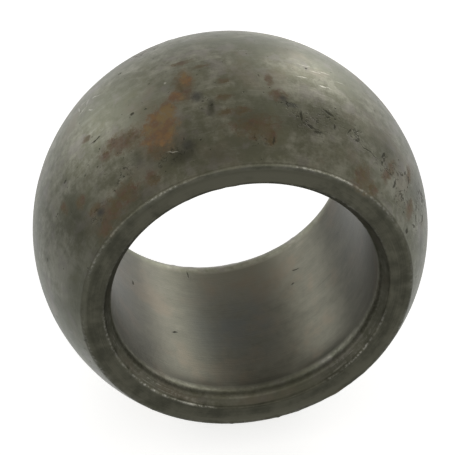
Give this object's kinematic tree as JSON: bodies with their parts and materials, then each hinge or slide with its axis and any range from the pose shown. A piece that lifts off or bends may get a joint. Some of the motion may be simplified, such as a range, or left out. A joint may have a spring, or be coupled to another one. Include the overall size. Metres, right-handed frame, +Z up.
{
  "type": "three-point hitch link ball",
  "caption": "Steel hitch ball with two flat ends and a plain chamfered through bore for a hitch pin.",
  "frame": {"origin": "centre of the ball, on the bore's axis, halfway between the flat ends", "axes": "+Y along the bore, +Z up; the two ends are alike, and the ball is round about Y"},
  "size_m": [0.056, 0.032, 0.056],
  "materials": {
    "steel": "bare turned steel, dark with oil and age, with light rust stains and bright nicked edges"
  },
  "bodies": {
    "root": {"hitch_ball": "steel"}
  },
  "joints": []
}
